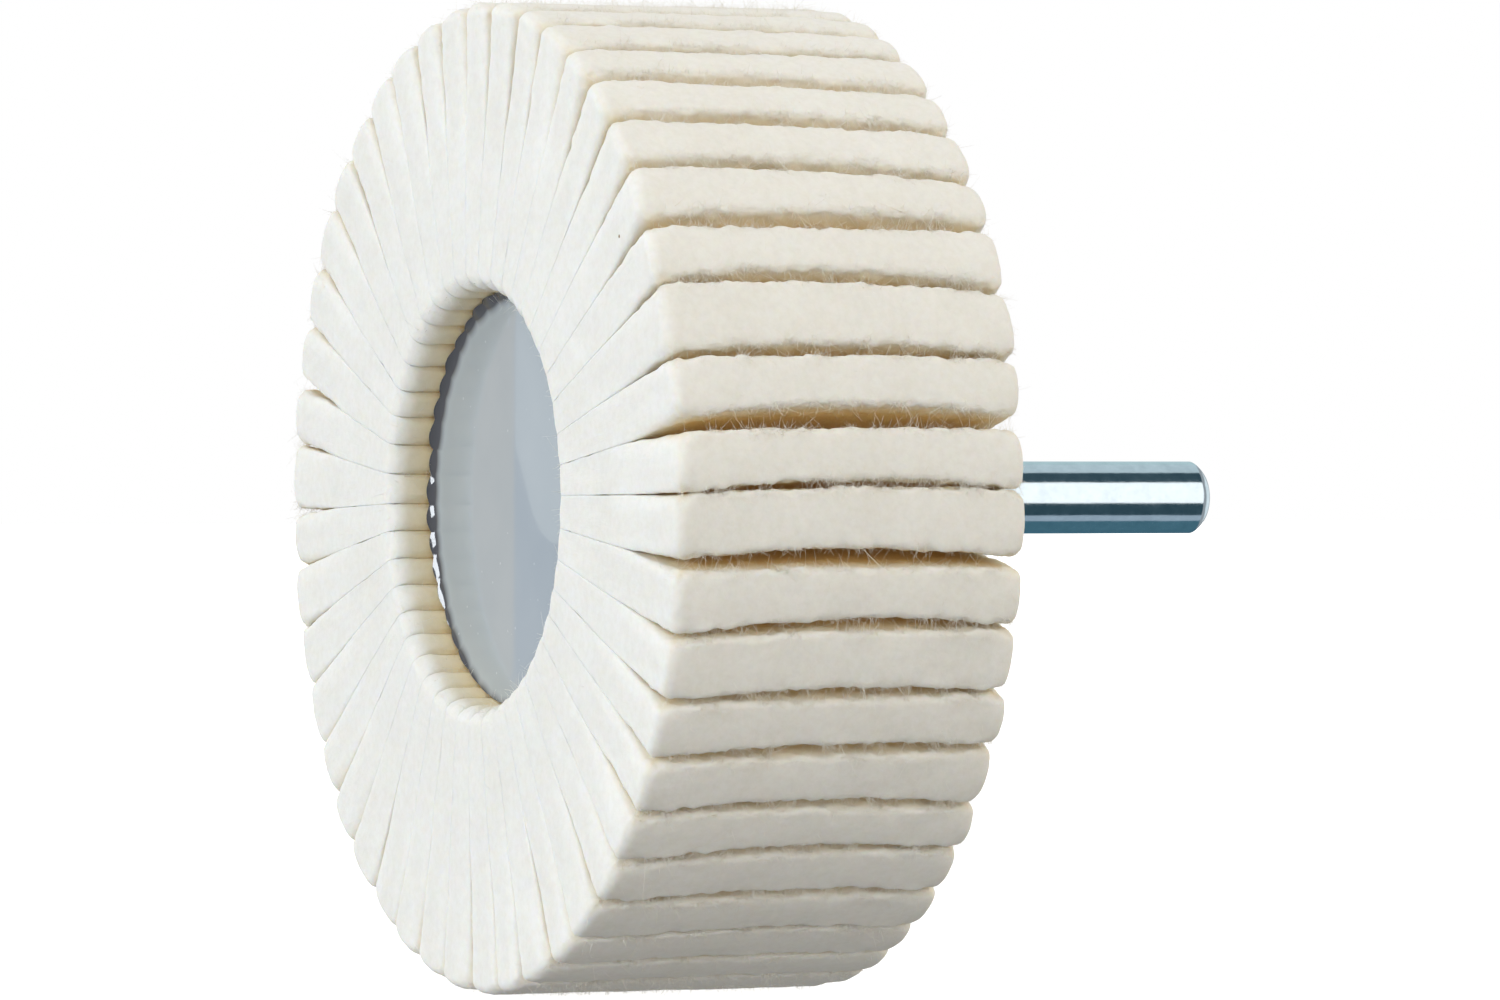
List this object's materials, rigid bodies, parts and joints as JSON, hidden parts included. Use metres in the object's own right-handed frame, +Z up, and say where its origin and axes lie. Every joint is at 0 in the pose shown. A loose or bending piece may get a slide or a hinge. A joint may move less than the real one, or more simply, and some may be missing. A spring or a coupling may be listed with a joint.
{
  "type": "mounted felt flap polishing wheel",
  "caption": "Round polishing wheel of radial wool-felt flaps bonded round a cast resin core, recessed in front, on a plain round steel shank.",
  "frame": {"origin": "on the turning axis, at the middle of the wheel's width", "axes": "+Y is the turning axis, from the recessed front face towards the free end of the shank; +Z is up and +X sideways, with the axis level"},
  "size_m": [0.08, 0.0658, 0.08],
  "materials": {
    "felt": "matt pressed wool felt, natural off-white, fuzzy at its edges",
    "resin": "glossy cast epoxy, light grey",
    "steel": "bright zinc plating, blue-white"
  },
  "bodies": {
    "root": {"felt_flap_01": "felt", "felt_flap_02": "felt", "felt_flap_03": "felt", "felt_flap_04": "felt", "felt_flap_05": "felt", "felt_flap_06": "felt", "felt_flap_07": "felt", "felt_flap_08": "felt", "felt_flap_09": "felt", "felt_flap_10": "felt", "felt_flap_11": "felt", "felt_flap_12": "felt", "felt_flap_13": "felt", "felt_flap_14": "felt", "felt_flap_15": "felt", "felt_flap_16": "felt", "felt_flap_17": "felt", "felt_flap_18": "felt", "felt_flap_19": "felt", "felt_flap_20": "felt", "felt_flap_21": "felt", "felt_flap_22": "felt", "felt_flap_23": "felt", "felt_flap_24": "felt", "felt_flap_25": "felt", "felt_flap_26": "felt", "felt_flap_27": "felt", "felt_flap_28": "felt", "felt_flap_29": "felt", "felt_flap_30": "felt", "felt_flap_31": "felt", "felt_flap_32": "felt", "felt_flap_33": "felt", "felt_flap_34": "felt", "felt_flap_35": "felt", "felt_flap_36": "felt", "felt_flap_37": "felt", "felt_flap_38": "felt", "felt_flap_39": "felt", "felt_flap_40": "felt", "felt_flap_41": "felt", "felt_flap_42": "felt", "felt_flap_43": "felt", "felt_flap_44": "felt", "felt_flap_45": "felt", "felt_flap_46": "felt", "resin_core": "resin", "shank": "steel"}
  },
  "joints": []
}
